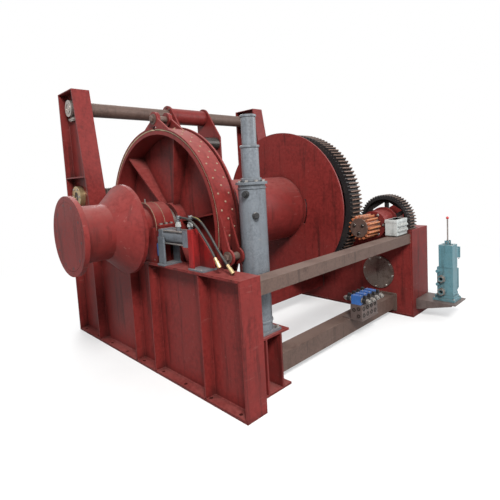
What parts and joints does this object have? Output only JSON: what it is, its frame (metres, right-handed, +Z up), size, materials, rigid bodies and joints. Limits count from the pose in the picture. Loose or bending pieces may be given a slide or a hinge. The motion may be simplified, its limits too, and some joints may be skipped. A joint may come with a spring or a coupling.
{
  "type": "mooring winch",
  "caption": "Deck mooring winch with a flanged drum, band brake, open gear train, warping head, spooling carriage on two tall posts and a hand control valve.",
  "frame": {"origin": "on the ground under the drum shaft, midway across the left side frame", "axes": "+X along the drum shaft from the warping head towards the gears, +Y from the winch's front to its spooling posts, +Z up"},
  "size_m": [4.33, 3.61, 3.005],
  "materials": {
    "primer_red": "matt red-oxide primer, dusty",
    "rusty_steel": "brown surface rust",
    "bare_steel": "machined, slightly rusted",
    "greased_steel": "dark, greasy",
    "black_gear": "black, brown tooth lands",
    "orange_paint": "satin orange",
    "grey_paint": "satin blue-grey",
    "light_grey_paint": "satin light grey",
    "teal_paint": "satin teal",
    "brake_lining": "matt cream friction lining",
    "red_plastic": "glossy red",
    "brass": "dull brass",
    "blue_paint": "satin blue",
    "black_rubber": "matt black rubber",
    "black_plastic": "satin black"
  },
  "bodies": {
    "base": {"left_web": "primer_red", "left_flanges": "primer_red", "left_stiffeners": "primer_red", "right_inner_web": "primer_red", "right_outer_web": "primer_red", "right_flanges": "primer_red", "right_end_plates": "primer_red", "left_post": "primer_red", "right_post": "primer_red", "top_guide_rod": "rusty_steel", "guide_rod_end_discs": "bare_steel", "screw_end_bearings": "brass", "upper_crossbeam": "rusty_steel", "lower_crossbeam": "rusty_steel", "middle_crossbeam": "primer_red", "left_main_bearing": "primer_red", "right_main_bearing": "primer_red", "pinion_bearings": "primer_red", "bearing_cover": "bare_steel", "hydraulic_motor": "grey_paint", "brake_band_front": "primer_red", "brake_band_back": "primer_red", "brake_lining": "brake_lining", "brake_pins": "rusty_steel", "brake_cylinder": "grey_paint", "brake_stand": "primer_red", "clutch_cylinder": "grey_paint", "clutch_fork_bracket": "grey_paint", "clutch_stop_bracket": "primer_red", "junction_box": "light_grey_paint", "valve_manifold": "bare_steel", "control_shelf": "bare_steel", "control_valve": "teal_paint", "clutch_lever": "rusty_steel", "clutch_hose_1": "black_rubber", "clutch_hose_2": "black_rubber", "hose_end_fittings": "brass", "manifold_valves": "blue_paint", "valve_solenoids": "black_plastic"},
    "shaft": {"main_shaft": "bare_steel", "clutch_hub": "bare_steel", "warping_head": "primer_red", "warping_head_cover": "primer_red", "ring_gear": "black_gear"},
    "drum_body": {"drum": "primer_red", "brake_wheel": "primer_red"},
    "pinion": {"drive_pinion": "orange_paint", "pinion_end_disc": "rusty_steel", "pinion_shaft": "bare_steel", "spoked_gear": "black_gear"},
    "motor": {"motor_gear": "black_gear"},
    "screw": {"lead_screw": "greased_steel"},
    "carriage": {"carriage_frame": "primer_red", "carriage_rollers": "greased_steel"},
    "lever": {"control_lever": "bare_steel", "lever_knob": "red_plastic"}
  },
  "joints": [
    {"name": "shaft_spin", "type": "hinge", "parent": "base", "child": "shaft", "pos_m": [0, 0, 1.43], "axis": [1, 0, 0], "continuous": true},
    {"name": "drum_spin", "type": "hinge", "parent": "shaft", "child": "drum_body", "pos_m": [0, 0, 1.43], "axis": [1, 0, 0], "continuous": true},
    {"name": "pinion_spin", "type": "hinge", "parent": "base", "child": "pinion", "pos_m": [2.5, -1.0346, 1.18161], "axis": [1, 0, 0], "continuous": true},
    {"name": "motor_spin", "type": "hinge", "parent": "base", "child": "motor", "pos_m": [3, -0.95646, 0.52626], "axis": [1, 0, 0], "continuous": true},
    {"name": "screw_spin", "type": "hinge", "parent": "base", "child": "screw", "pos_m": [1.5, 1.552, 1.733], "axis": [1, 0, 0], "continuous": true},
    {"name": "carriage_slide", "type": "slide", "parent": "base", "child": "carriage", "axis": [1, 0, 0], "range_m": [-0.95, 0.05]},
    {"name": "lever_tilt", "type": "hinge", "parent": "base", "child": "lever", "pos_m": [3.0675, -1.72, 0.926], "axis": [1, 0, 0], "range_deg": [-15, 15], "stiffness_Nm_per_rad": 3}
  ],
  "couplings": [
    {"joint": "pinion_spin", "follows": "shaft_spin", "ratio": -7.3125},
    {"joint": "motor_spin", "follows": "shaft_spin", "ratio": 7.5833}
  ]
}
